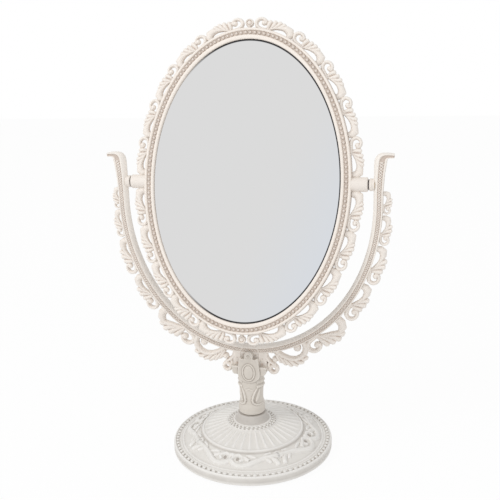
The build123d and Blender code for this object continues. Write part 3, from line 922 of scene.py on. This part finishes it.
def make_bead(radius, flatness):
    """One low bead that lies on a groove's floor, with painted shade round its edge."""
    bead = ball_pattern(10, 7, (radius, radius * flatness, radius))
    shade_from_edge(bead, radius * flatness, 0.95, 0.50)
    return bead


def shifted(x, y, z):
    """A place for copies: the pattern moved, not turned."""
    return lambda points: points + (x, y, z), False


def make_bead_rows():
    """The rows of beads in the bezels' grooves, evenly spaced along the oval."""
    angles = np.linspace(0, 2 * pi, 2881)
    lengths = walked(bead_line, angles)
    turns = np.interp((np.arange(bead_count) + 0.5) / bead_count * lengths[-1], lengths, angles)
    bead = make_bead(bead_radius, 0.95)
    for name, side in (("front_beads", 1), ("rear_beads", -1)):
        forward = -side * (ring_half_depth + groove_rise)
        places = [shifted(bead_line[0] * sin(turn), forward, bead_line[1] * cos(turn)) for turn in turns]
        dress(copies(name, bead, places), frame_white, "mirror_head", "bezel_plastic")
    discard(bead)


def make_ringed_beads():
    """The round bead with a raised ring at the top and at the bottom of the mirror."""
    centre = (0, 4.4)
    piece = start_piece("ringed_bead")
    band([(*on_circle(centre, 2.25, turn), 0.65, 2.1) for turn in range(90, 461, 30)], sides=8)
    ball(*centre, 1.7, 2.1)
    band([(0, -0.5, 1.3, 1.9), (0, 2.6, 1.2, 1.9)])
    end_piece(piece)
    carve(piece, 0.2)
    dress(copies("ringed_beads", piece, [head_top.wrap(0, 1), head_bottom.wrap(0, 1)]), *on_head)
    discard(piece)


def on_bow(points):
    """Places points of length walked, depth and share of the way from the fork's inner to its outer line."""
    along = np.abs(points[:, 0])
    side = np.where(points[:, 0] < 0, -1.0, 1.0)
    angle = fork_edge.angle_at(along)
    on_arm = along > fork_edge.quarter
    over = (along - fork_edge.quarter).clip(min=0)

    def line(arm_x, arm_rise, half_sizes):
        x = np.where(on_arm, np.interp(over, arm_steps, arm_x), half_sizes[0] * np.sin(angle))
        z = np.where(on_arm, np.interp(over, arm_steps, arm_rise), -half_sizes[1] * np.cos(angle))
        return x, z

    inner_x, inner_z = line(arm_inner_x, arm_inner_rise, fork_inner)
    outer_x, outer_z = line(arm_outer_x, arm_outer_rise, fork_outer)
    x = inner_x + (outer_x - inner_x) * points[:, 2]
    z = inner_z + (outer_z - inner_z) * points[:, 2]
    return np.stack([side * x, points[:, 1], fork_arc_height + z], axis=1)


def make_fork_bow():
    """The fork's bow, arms and curled tips, with a smooth inner rail and a bed for the rope."""
    # Half of the section: share of the way from inner to outer line, half depth and tint. The tint is
    # painted shade, deepest in the rope's bed; the inner rail's tint below 0 gives it the lightest tone,
    # painted light where the head shades it.
    half = (
        (0.00, 0.55, -0.30),
        (0.015, 1.15, -0.30),
        (0.05, 1.90, -0.30),
        (0.11, 2.70, -0.25),
        (0.20, 3.45, -0.20),
        (0.31, 3.95, -0.10),
        (0.38, 3.80, 0.10),
        (0.41, 3.45, 0.40),
        (0.45, 3.25, 0.85),
        (0.62, 3.30, 0.75),
        (0.80, 3.25, 0.85),
        (0.83, 3.50, 0.40),
        (0.88, 3.80, 0.10),
        (0.96, 3.78, 0.10),
        (1.00, 3.40, 0.30),
    )
    corners = [(-depth, share, tint) for share, depth, tint in half]
    corners += [(depth, share, tint) for share, depth, tint in reversed(half)]
    count = round(2 * bow_half_length / bow_step)
    step = 2 * bow_half_length / count
    piece = start_piece("fork_bow")
    section_face([(-bow_half_length, depth, share) for depth, share, tint in corners])
    for _ in range(count):
        bpy.ops.mesh.extrude_region_move(TRANSFORM_OT_translate={"value": (step, 0, 0)})
    end_piece(piece)
    tints = {(round(depth, 3), round(share, 3)): tint for depth, share, tint in corners}
    set_tint(piece, [tints[(round(depth, 3), round(share, 3))] for _, depth, share in points_of(piece)])
    reshape(piece, on_bow)
    dress(piece, *on_fork)
    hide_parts("fork")


def make_ropes():
    """The rope pattern in the bow's bed, front and back."""
    ribs = []
    for slant in (rope_slant, -rope_slant):
        rib = ball_pattern(8, 6, rope_rib)
        rib.data.transform(Matrix.Rotation(radians(slant), 4, "Y"))
        rib.data.transform(Matrix.Diagonal((1, 1, 1 / bow_width, 1)))
        # Painted shade where the rib meets the bed, none on its crest
        shade_from_edge(rib, rope_rib[1], 0.75, 0.0)
        ribs.append(rib)
    crossing = joined("rope_crossing", ribs)
    rib_count = int((fork_edge.quarter + rope_end) / rope_pitch)
    starts = [(number + 0.5) * rope_pitch for number in range(rib_count)]

    def rib_place(start, side, depth):
        return lambda points: on_bow(points + (start, depth, rope_seat)) * (side, 1, 1), side > 0

    for name, depth in (("front_rope", -rope_depth), ("rear_rope", rope_depth)):
        places = [rib_place(start, side, depth) for side in (1, -1) for start in starts]
        dress(copies(name, crossing, places), *on_fork)
    discard(crossing)


def make_fork_openwork():
    """The leaf units along the outside of the fork, five sizes on each side."""
    for number, (start, length, height, scroll, half_depth, tips, leaf) in enumerate(fork_units, 1):
        root = length * fork_root_share
        unit = leaf_unit(length, height, scroll, root, fork_scroll_lift, half_depth, tips, leaf)
        pair = copies("fork_leaves_%d" % number, unit, [fork_edge.wrap(start, 1), fork_edge.wrap(start, -1)])
        dress(pair, *on_fork)
        discard(unit)


def make_side_scrolls():
    """The big feathered scroll and the two small curls beside the pillar, on both sides."""
    piece = start_piece("side_scroll")
    big_scroll = (
        (16.6, 80.6, 1.9, 2.8), (20.6, 77.5, 1.8, 2.9), (24.6, 74.8, 1.8, 2.9), (29.4, 73.0, 1.8, 3.0),
        (34.2, 72.9, 1.9, 3.0), (38.2, 74.9, 2.1, 3.1), (40.9, 78.3, 2.3, 3.2), (41.7, 82.2, 2.4, 3.2),
        (40.3, 85.8, 2.3, 3.2), (37.4, 87.4, 2.0, 3.0), (34.3, 86.4, 1.6, 2.9), (33.4, 84.0, 1.5, 2.9),
    )
    band(big_scroll, sides=12)
    ball(35.3, 81.8, 2.9, 3.0)
    feathers = (
        ((19.4, 76.4), (21.4, 72.8), (23.2, 70.2)),
        ((22.2, 74.6), (24.6, 71.0), (26.8, 68.6)),
        ((25.6, 72.8), (28.4, 69.8), (31.0, 67.8)),
        ((29.6, 72.0), (32.6, 69.6), (35.2, 68.4)),
        ((33.6, 72.2), (36.8, 70.6), (39.4, 70.7)),
        ((37.6, 74.2), (40.4, 73.4), (42.4, 74.4)),
    )
    for root, middle, tip in feathers:
        end = (tip[0] + (tip[0] - middle[0]) * 0.35, tip[1] + (tip[1] - middle[1]) * 0.35)
        band([(*root, 1.3, 2.4), (*middle, 1.75, 2.9), (*tip, 1.5, 2.6), (*end, 0.9, 1.8)])
    small_curl = (
        (12.6, 80.6, 1.9, 2.8), (11.6, 77.0, 1.9, 2.9), (11.8, 73.8, 1.9, 3.0), (13.2, 71.2, 1.7, 3.0),
        (15.8, 69.2, 1.4, 3.0), (18.0, 67.8, 1.1, 2.7), (19.4, 67.3, 0.7, 2.2),
    )
    band(small_curl)
    band([(20.4, 79.2, 1.9, 2.8), (21.3, 76.4, 1.5, 2.8), (21.2, 73.8, 1.4, 2.7), (20.1, 72.0, 1.3, 2.6)])
    band([(12.4, 78.8, 2.2, 2.8), (16.6, 78.7, 2.6, 2.8), (20.6, 78.9, 2.4, 2.8)])
    ball(18.7, 71.7, 2.3, 3.3)
    band([(*on_circle((17.6, 63.8), 2.75, turn), 1.55, 2.9) for turn in range(60, 421, 30)])
    band([(14.6, 69.6, 1.4, 2.8), (14.0, 67.2, 1.5, 2.8), (14.6, 64.6, 1.5, 2.8)])
    band([(9.4, 64.2, 2.6, 2.8), (14.4, 64.0, 2.0, 2.8)])
    end_piece(piece)
    carve(piece, 0.28)
    both_sides = [(lambda points: points, False), (lambda points: points * (-1, 1, 1), True)]
    dress(copies("side_scrolls", piece, both_sides), *on_fork)
    discard(piece)


def make_fork_web():
    """The web between bow and pillar, with raised ribs beside the crest and shade in its pits."""
    web = start_piece("fork_web")
    outline = (
        (0.0, 60.4), (7.0, 60.4), (7.2, 65.6), (12.6, 66.0), (12.8, 69.6), (11.6, 75.0), (12.8, 79.2),
        (0.0, 81.0),
    )
    block(mirrored(outline), -3.0, 3.0, 0.4)
    rib = (
        (4.0, 81.0, 1.6), (6.2, 79.2, 1.5), (7.3, 76.4, 1.35), (7.3, 73.4, 1.3), (6.4, 70.8, 1.3),
        (5.4, 68.4, 1.3),
    )
    for side in (1, -1):
        band([(side * x, z, wide, 3.7) for x, z, wide in rib])
        band([(side * 10.0, 80.4, 1.4, 3.0), (side * 7.6, 79.6, 1.5, 3.2), (side * 5.0, 80.0, 1.5, 3.2)])
    band([(-4.4, 81.2, 1.3, 3.6), (0.0, 80.6, 1.4, 3.6), (4.4, 81.2, 1.3, 3.6)])
    end_piece(web)
    carve(web, coarse_voxel)
    # Each pit: its place in X and Z, and its size
    pits = ((4.3, 74.6, 0.8), (9.4, 67.6, 1.3), (2.6, 78.0, 0.6), (9.6, 72.0, 0.5))
    points = points_of(web)
    shade = np.full(len(points), 0.28)
    for x, z, size in pits:
        away = (np.abs(points[:, 0]) - x) ** 2 + (points[:, 2] - z) ** 2
        shade += 0.6 * np.exp(-away / size**2)
    set_tint(web, shade.clip(max=1.0))
    dress(web, *on_fork)


def make_bosses():
    """The two turned bosses of the fork that face the mirror's barrels."""
    outline = ((3.5, 85.5), (4.1, 85.7), (4.3, 86.2), (4.3, 87.3), (4.0, 87.6), (4.0, 88.0), (4.3, 89.0))
    for hand, side in hands:
        dress(turned("boss_" + hand, outline, 40, side, pivot_height), *on_fork)


def on_shaft(points):
    """Bends relief that is drawn flat round the front of the pillar's shaft."""
    angle = points[:, 0] / relief_radius
    reach = relief_radius - points[:, 1]
    return np.stack([reach * np.sin(angle), -reach * np.cos(angle), points[:, 2]], axis=1)


def flatten_shaft(points):
    """Turns the pillar's round foot into an oval towards the capital."""
    rise = ((points[:, 2] - 40.0) / 15.0).clip(0, 1)
    slimmer = points.copy()
    slimmer[:, 1] *= 1.0 - 0.24 * rise * rise * (3 - 2 * rise)
    return slimmer


def shaft_and_capital():
    """The pillar's turned shaft, flattened upwards, and the capital on it."""
    outline = (
        (8.4, 28.3), (8.4, 29.0), (9.4, 29.1), (9.85, 29.5), (9.95, 31.0), (9.9, 34.0), (9.65, 35.6),
        (9.0, 37.2), (8.7, 39.4), (8.7, 42.0), (8.9, 46.0), (9.3, 49.6), (9.6, 53.0), (9.6, 57.0),
        (9.3, 60.6), (8.9, 66.0),
    )
    shaft = turned("shaft", outline, 64)
    reshape(shaft, flatten_shaft)
    capital = start_piece("capital")
    capital_outline = (
        (0.0, 60.2), (11.4, 60.2), (12.7, 61.6), (13.0, 63.6), (12.6, 64.6), (13.3, 65.2), (13.3, 66.6),
        (0.0, 66.6),
    )
    block(mirrored(capital_outline), -6.9, 6.9, 0.9)
    return [shaft, end_piece(capital)]


def cartouche_parts(face):
    """The plate with crest, the gem and its border, on the front (-1) or back (1) of the pillar."""
    outline = (
        (0.0, 54.2), (2.6, 54.4), (5.0, 55.3), (7.4, 57.4), (8.3, 59.6), (8.4, 62.5), (7.8, 67.4),
        (7.3, 71.4), (6.9, 73.2), (6.2, 73.6), (5.2, 72.8), (4.2, 72.7), (3.1, 72.9), (3.3, 74.6),
        (2.9, 76.6), (1.7, 78.0), (0.0, 78.4),
    )
    plate = start_piece("cartouche")
    block(mirrored(outline), face * plate_back, face * plate_front, 0.6)
    end_piece(plate)

    border = start_piece("gem_border")
    turns = [radians(turn) for turn in range(90, 461, 15)]
    band([(gem_border[0] * cos(t), gem_height + gem_border[1] * sin(t), 0.5, 0.75) for t in turns], sides=8)
    band([(*on_circle((0, 75.3), 1.7, turn), 0.4, 0.6) for turn in range(-50, 231, 28)], sides=8)
    end_piece(border)

    gem = start_piece("gem")
    ball(0, gem_height, 3.7, 1.1)
    bpy.ops.mesh.select_all(action="SELECT")
    bpy.ops.transform.resize(value=(1, 1, 1.5), center_override=(0, 0, gem_height))
    end_piece(gem)
    for part in (border, gem):
        reshape(part, lambda points: points + (0, face * plate_front, 0))
    return [plate, border, gem]


def shaft_relief(face):
    """Chevrons, leaf lines, ridges and blades on the front (-1) or back (1) of the shaft."""
    leaf_line = (
        (7.4, 52.0, 0.5), (6.4, 50.0, 0.7), (4.5, 46.8, 0.8), (3.1, 43.4, 0.8), (2.7, 40.6, 0.75),
        (3.4, 38.4, 0.75), (5.6, 37.0, 0.7), (8.6, 36.6, 0.6), (12.0, 36.8, 0.5),
    )
    blade = ((5.4, 39.6, 0.6, 0.7), (6.6, 42.0, 1.3, 1.0), (7.6, 45.0, 1.4, 1.0), (8.6, 48.4, 0.7, 0.7))
    relief = start_piece("shaft_relief")
    for height in (53.2, 51.1, 49.0):
        ends = [(side * 2.7, height - 0.9, 0.35, 0.5) for side in (-1, 1)]
        band([ends[0], (0, height, 0.5, 0.7), ends[1]], sides=8)
    for side in (1, -1):
        band([(side * x, z, size, size * 1.15) for x, z, size in leaf_line], sides=8)
        for height, size in ((54.5, 1.5), (50.9, 1.2)):
            ridge = ((5.6, height - 0.3), (7.6, height), (10.0, height + 0.1), (13.0, height))
            band([(side * x, z, size, 1.3) for x, z in ridge], sides=8)
        band([(side * x, z, wide, deep) for x, z, wide, deep in blade], sides=8)
    end_piece(relief)
    reshape(relief, lambda points: flatten_shaft(on_shaft(points)) * (1, -face, 1))
    return relief


def make_stem():
    """The pillar: shaft, capital, cartouche with gem and crest, and relief, front and back."""
    parts = shaft_and_capital()
    for face in (-1, 1):
        parts += [*cartouche_parts(face), shaft_relief(face)]
    stem = joined("pillar", parts)
    carve(stem, coarse_voxel)
    dress(stem, shaded_stem_white, "stand", "stem_plastic")
    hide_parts("stem")


def slope(start, end, shares, tint):
    """Stages of a straight slope from one radius and height to another."""
    return [tuple(a + (b - a) * share for a, b in zip(start, end)) + (tint,) for share in shares]


def flute_ridges(points):
    """Each point's distance from the foot's axis, and how near it is to the top of a ridge."""
    reach = np.hypot(points[:, 0], points[:, 1])
    turn = np.arctan2(points[:, 1], points[:, 0]) * flute_count / 2
    return reach, np.abs(np.cos(turn)) ** flute_sharpness


def fluted(points):
    """Raises the ridges and sinks the channels of the dome, fading out at both its edges."""
    reach, ridge = flute_ridges(points)
    fade = ((flutes_outer - reach) / 2.0).clip(0, 1) * ((reach - flutes_inner) / 1.5).clip(0, 1)
    lifted = points.copy()
    lifted[:, 2] += np.where(points[:, 2] > flutes_low, fade * flute_depth * (2 * ridge - 1), 0)
    return lifted


def make_foot():
    """The turned foot with its rim, vine band, fluted dome and collar."""
    # Each stage: radius, height and tint of painted shade: deeper under the rim and in its grooves, none on
    # its top ridge, greyer over the collar in the head's shade, and darkest in the seam under the pillar
    rim = (
        (57.6, 3.3, 0.6),
        (57.6, 1.3, 0.6),
        (59.2, 1.2, 0.4),
        (59.9, 1.8, 0.2),
        (60.0, 4.0, 0.6),
        (60.0, 6.6, 0.5),
        (59.7, 7.6, 0.25),
        (59.1, 8.1, 0.0),
        (58.6, 8.1, 0.2),
        (58.3, 7.5, 0.35),
        (57.0, 7.3, 0.4),
        (55.7, 7.5, 0.35),
        (55.3, 8.1, 0.2),
        (54.6, 8.25, 0.3),
        (53.8, 8.2, 0.5),
        (53.3, 8.65, 0.1),
        (52.6, 8.75, 0.1),
        (*vine_outer, 0.5),
    )
    step_up = (
        (*vine_inner, 0.7),
        (38.4, 15.2, 0.4),
        (37.9, 15.9, 0.1),
        (37.2, 16.05, 0.0),
        (36.6, 15.8, 0.5),
    )
    collar = (
        (18.8, 20.9, 0.5),
        (18.5, 21.3, 0.1),
        (18.2, 21.35, 0.2),
        (17.9, 20.9, 0.4),
        (14.6, 21.7, 0.4),
        (14.3, 22.3, 0.2),
        (13.6, 22.5, 0.2),
        (12.9, 22.6, 0.7),
        (12.3, 23.3, 0.72),
        (11.7, 24.8, 0.72),
        (11.1, 26.6, 0.72),
        (10.6, 28.0, 0.7),
        (10.1, 28.3, 1.0),
    )
    vine_band = slope(vine_outer, vine_inner, [number / 9 for number in range(1, 9)], 0.4)
    dome = slope(dome_outer, dome_inner, [number / 12 for number in range(13)], 0.35)
    foot = turned("foot", [*rim, *vine_band, *step_up, *dome, *collar], flute_count * 10)
    reshape(foot, fluted)
    points = points_of(foot)
    reach, ridge = flute_ridges(points)
    on_flutes = (reach > flutes_inner) & (reach < flutes_outer) & (points[:, 2] > flutes_low)
    # Painted shade in the flute channels, none on the ridges
    set_tint(foot, np.where(on_flutes, channel_shade * (1 - ridge), tint_of(foot)))
    dress(foot, *on_foot)
    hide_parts("foot_shell")


def make_foot_beads():
    """The three rows of long beads on the foot, with painted shade at their ends: on the rim and round the
    collar.
    """
    bead = make_bead(1.0, 1.0)
    # Painted shade at each bead's ends, where it meets its neighbours
    ends = (np.abs(points_of(bead)[:, 0]) - 0.55).clip(min=0)
    set_tint(bead, (0.15 + 2.2 * ends).clip(max=1.0))

    def bead_place(angle, row_radius, height, size, stretch):
        def place(points):
            away = row_radius + points[:, 2] * size
            round_rim = points[:, 0] * size * stretch
            x = away * cos(angle) - round_rim * sin(angle)
            y = away * sin(angle) + round_rim * cos(angle)
            return np.stack([x, y, points[:, 1] * size + height], axis=1)

        return place, True

    # Each row: radius, height, bead size, count and stretch
    rows = (
        (57.0, 7.6, 1.2, 84, 1.55),
        (17.2, 21.2, 0.85, 34, 1.6),
        (15.4, 21.7, 0.85, 30, 1.6),
    )
    for number, (row_radius, height, size, count, stretch) in enumerate(rows, 1):
        angles = [2 * pi * (turn + 0.5) / count for turn in range(count)]
        places = [bead_place(angle, row_radius, height, size, stretch) for angle in angles]
        dress(copies("foot_beads_%d" % number, bead, places), *on_foot)
    discard(bead)


def make_vine():
    """The scrolling vine in relief round the foot, one motif mirrored and set four times."""
    # Each stem or leaf: degrees round from the motif's middle, distance from the axis and half width
    vines = (
        (
            (-1.5, 45.6, 1.5), (1, 46.2, 1.5), (4, 48.2, 1.7), (8, 49.5, 1.85), (12, 49.6, 1.9),
            (16, 48.5, 1.95), (20, 46.8, 1.9), (24, 45.3, 1.8), (28, 44.2, 1.7), (32, 43.7, 1.7),
            (37, 43.8, 2.0), (42, 43.7, 2.2), (47, 43.7, 2.2),
        ),
        (
            (1, 46.4, 1.2), (1.2, 43.6, 1.2), (3.2, 41.6, 1.2), (6.6, 41.0, 1.25), (10, 42.2, 1.3),
            (11, 44.6, 1.3), (8.6, 46.0, 1.2),
        ),
        ((10, 42.6, 1.3), (13.5, 43.4, 1.6), (17, 45.4, 1.6)),
        ((-2, 42.2, 1.5), (0, 41.6, 1.7), (2, 41.6, 1.4)),
        ((14, 41.2, 0.8), (18, 41.4, 1.2), (22, 42.4, 1.1), (24, 43.4, 0.8)),
        ((33, 44.4, 1.4), (35.5, 46.2, 1.4), (36.5, 47.9, 1.0)),
        ((38, 44.6, 1.6), (41, 47.2, 1.9), (42, 49.6, 1.7), (42.2, 50.6, 1.1)),
        ((30, 42.6, 1.0), (34, 41.2, 1.3), (39, 40.6, 1.1)),
        ((42, 41.8, 1.3), (45, 41.0, 1.4), (48, 41.8, 1.3)),
    )
    motif = start_piece("vine")
    for stations in vines:
        band([(radians(turn) * vine_radius, reach, size, size) for turn, reach, size in stations], sides=8)
    end_piece(motif)
    carve(motif, 0.34)
    steepness = (vine_inner[1] - vine_outer[1]) / (vine_outer[0] - vine_inner[0])

    def around_foot(centre, side):
        def place(points):
            angle = side * points[:, 0] / vine_radius + radians(centre) - pi / 2
            reach = points[:, 2]
            height = vine_outer[1] + vine_lift + steepness * (vine_outer[0] - reach)
            return np.stack([reach * np.cos(angle), reach * np.sin(angle), height - points[:, 1]], axis=1)

        return place, side < 0

    places = [around_foot(centre, side) for centre in (-7, 83, 173, 263) for side in (1, -1)]
    dress(copies("foot_vine", motif, places), *on_foot)
    discard(motif)

    # A low dark disc in each curl, as painted shade of the vine's pits
    pit = make_bead(1.25, 0.35)
    set_tint(pit, [0.9] * len(pit.data.vertices))
    reshape(pit, lambda points: points + (radians(6.2) * vine_radius, 0.15, 43.8))
    dress(copies("vine_shade_discs", pit, places), *on_foot)
    discard(pit)


def seen_directly(tree):
    """1 for rays straight from the camera or by way of a mirror, else 0."""
    rays = node(tree, "LightPath").outputs
    return calculated(tree, "MAXIMUM", rays["Is Camera Ray"], rays["Is Glossy Ray"])


def make_floor():
    """The pale floor, white where the camera looks and still shaded by the mirror."""
    deselect_all()
    bpy.ops.mesh.primitive_plane_add(size=6, location=(0, 0, 0))
    floor = bpy.context.active_object
    floor.name = "floor"
    material, tree, shader = new_material("floor_white")
    feed(tree, shader, {"Base Color": (0.90, 0.90, 0.90, 1), "Roughness": 0.9, "Specular IOR Level": 0.1})
    glow = node(tree, "Emission", {"Color": pure_white, "Strength": 1.0}).outputs["Emission"]
    share = calculated(tree, "MULTIPLY", seen_directly(tree), floor_glow)
    blend = node(tree, "MixShader", {"Fac": share, 1: shader.outputs["BSDF"], 2: glow}).outputs["Shader"]
    tree.links.new(blend, tree.nodes["Material Output"].inputs["Surface"])
    floor.data.materials.append(material)
    floor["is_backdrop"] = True


def make_light():
    """Even pale surroundings with two soft lamps from the upper left and the front right."""
    world = bpy.data.worlds.new("pale_room")
    bpy.context.scene.world = world
    world.use_nodes = True
    tree = world.node_tree
    room = feed(tree, tree.nodes["Background"], {"Color": pure_white, "Strength": room_light})
    white = node(tree, "Background", {"Color": pure_white, "Strength": 1.0})
    shaders = {"Fac": seen_directly(tree), 1: room.outputs["Background"], 2: white.outputs["Background"]}
    choose = node(tree, "MixShader", shaders).outputs["Shader"]
    tree.links.new(choose, tree.nodes["World Output"].inputs["Surface"])

    for name, place, power in lamps:
        lamp = bpy.data.lights.new(name, "AREA")
        lamp.energy = power
        lamp.size = lamp_size
        holder = bpy.data.objects.new(name, lamp)
        holder.location = place
        aim = Vector(lamp_target) - Vector(place)
        holder.rotation_euler = aim.to_track_quat("-Z", "Y").to_euler()
        bpy.context.scene.collection.objects.link(holder)


def make_camera():
    """The camera at the photograph's place, turn, pitch and roll."""
    place = Vector((125.83, -492.95, 288.34)) * mm
    turn = radians(14.128)
    pitch_down = radians(14.802)
    roll = radians(-1.570)
    lens = bpy.data.cameras.new("camera")
    lens.sensor_width = 36.0
    lens.lens = 53.02
    lens.clip_start = 0.01
    camera = bpy.data.objects.new("camera", lens)
    bpy.context.scene.collection.objects.link(camera)
    turned_camera = Matrix.Rotation(turn, 4, "Z") @ Matrix.Rotation(pi / 2 - pitch_down, 4, "X")
    camera.matrix_world = Matrix.Translation(place) @ turned_camera @ Matrix.Rotation(roll, 4, "Z")
    bpy.context.scene.camera = camera


make_head_openwork()
make_head_ring()
make_barrels()
make_bezels()
make_bead_rows()
make_ringed_beads()
make_fork_bow()
make_ropes()
make_fork_openwork()
make_side_scrolls()
make_fork_web()
make_bosses()
make_stem()
make_foot()
make_foot_beads()
make_vine()
make_floor()
make_light()
make_camera()
bpy.context.scene.view_settings.view_transform = "Standard"

boxes = {"cad": cad_box, "visual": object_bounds()}
{name: [list(corner) for corner in box] for name, box in boxes.items()}
